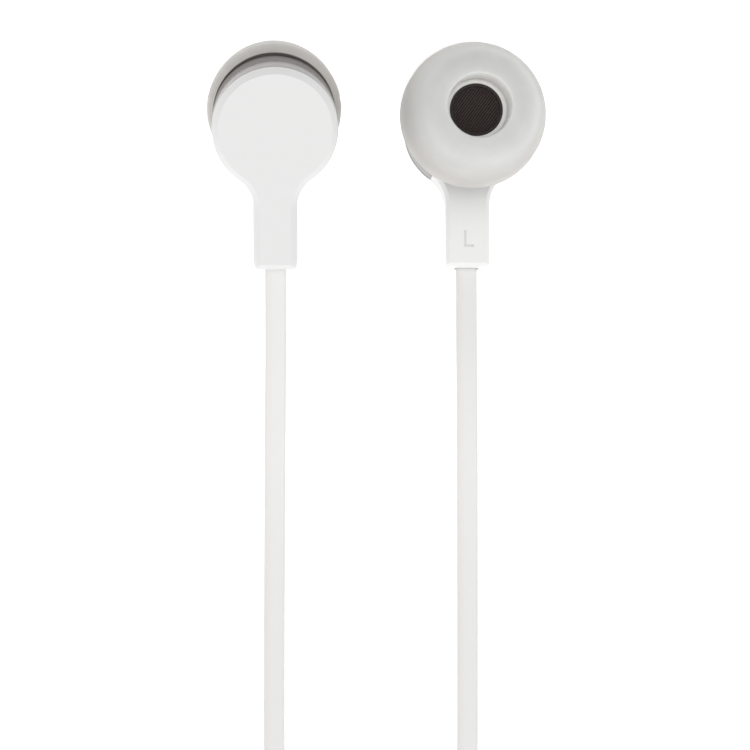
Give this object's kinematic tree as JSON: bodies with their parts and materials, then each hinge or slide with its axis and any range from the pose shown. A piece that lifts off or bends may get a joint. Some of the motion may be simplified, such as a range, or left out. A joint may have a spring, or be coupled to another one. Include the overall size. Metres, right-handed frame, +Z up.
{
  "type": "in-ear earphones on a neck cord",
  "caption": "In-ear earphones: round flat-faced earbuds with soft tips and short stems on a flat neck cord with an inline control pod, laid out straight.",
  "frame": {"origin": "bottom centre of the two earbuds as they lie, without the cord and what is on it; the surface they lie on is Z = 0", "axes": "+Z up, +Y the way the earbuds point away from the cord, +X from the right earbud to the left earbud"},
  "size_m": [0.0316, 0.1953, 0.0147],
  "materials": {
    "white_casing": "satin gloss moulding",
    "polished_band": "polished",
    "barrel_metal": "fine satin, dark",
    "nozzle_plastic": "moulded",
    "grille_mesh": "fine woven acoustic mesh",
    "grille_rim": "matt",
    "ear_tip_silicone": "translucent frosted silicone",
    "driver_steel": "stamped",
    "magnet": "nickel plated",
    "copper_winding": "enamelled wire",
    "membrane": "thin film",
    "gasket": "foam",
    "cord_jacket": "smooth matt elastomer",
    "soft_insert": "moulded elastomer",
    "circuit_board": "solder mask",
    "chip": "moulded epoxy",
    "switch_metal": "stamped",
    "battery_foil": "foil pouch",
    "button_rubber": "fine matt",
    "status_lens": "clear light pipe",
    "tie_silicone": "soft silicone"
  },
  "bodies": {
    "earphones": {"right_outer_shell": "white_casing", "right_inner_shell": "white_casing", "right_trim_band": "polished_band", "right_driver_frame": "driver_steel", "right_driver_magnet": "magnet", "right_driver_top_plate": "driver_steel", "right_voice_coil": "copper_winding", "right_diaphragm": "membrane", "right_driver_gasket": "gasket", "right_barrel": "barrel_metal", "right_nozzle": "nozzle_plastic", "right_grille_ring": "grille_rim", "right_grille": "grille_mesh", "right_cord_anchor": "soft_insert", "right_lead_wires": "copper_winding", "left_outer_shell": "white_casing", "left_inner_shell": "white_casing", "left_trim_band": "polished_band", "left_driver_frame": "driver_steel", "left_driver_magnet": "magnet", "left_driver_top_plate": "driver_steel", "left_voice_coil": "copper_winding", "left_diaphragm": "membrane", "left_driver_gasket": "gasket", "left_barrel": "barrel_metal", "left_nozzle": "nozzle_plastic", "left_grille_ring": "grille_rim", "left_grille": "grille_mesh", "left_cord_anchor": "soft_insert", "left_lead_wires": "copper_winding", "pod_top_shell": "white_casing", "pod_bottom_shell": "white_casing", "pod_circuit_board": "circuit_board", "pod_chips": "chip", "pod_switches": "switch_metal", "pod_battery": "battery_foil", "pod_charging_socket": "switch_metal", "pod_status_light": "status_lens", "pod_microphone": "switch_metal", "pod_boot_right": "soft_insert", "pod_boot_left": "soft_insert", "cord_right": "cord_jacket", "cord_left": "cord_jacket", "cord_pod": "cord_jacket", "cord_coil": "cord_jacket", "coil_tie": "tie_silicone"},
    "right_tip": {"right_ear_tip": "ear_tip_silicone"},
    "left_tip": {"left_ear_tip": "ear_tip_silicone"},
    "volume_up": {"volume_up_button": "button_rubber"},
    "multifunction": {"multifunction_button": "button_rubber"},
    "volume_down": {"volume_down_button": "button_rubber"},
    "socket_flap": {"pod_socket_cover": "soft_insert"}
  },
  "joints": [
    {"name": "right_tip_pull", "type": "slide", "parent": "earphones", "child": "right_tip", "axis": [-0.0314, 0.2722, -0.9617], "range_m": [0, 0.005]},
    {"name": "left_tip_pull", "type": "slide", "parent": "earphones", "child": "left_tip", "axis": [0.0767, 0.099, 0.9921], "range_m": [0, 0.005]},
    {"name": "volume_up_press", "type": "slide", "parent": "earphones", "child": "volume_up", "axis": [0, 0, -1], "range_m": [0, 0.0003], "stiffness_N_per_m": 2000},
    {"name": "multifunction_press", "type": "slide", "parent": "earphones", "child": "multifunction", "axis": [0, 0, -1], "range_m": [0, 0.0003], "stiffness_N_per_m": 2000},
    {"name": "volume_down_press", "type": "slide", "parent": "earphones", "child": "volume_down", "axis": [0, 0, -1], "range_m": [0, 0.0003], "stiffness_N_per_m": 2000},
    {"name": "socket_flap_hinge", "type": "hinge", "parent": "earphones", "child": "socket_flap", "pos_m": [-0.01353, -0.13207, 0.0027], "axis": [0, 0, -1], "range_deg": [0, 90]}
  ]
}
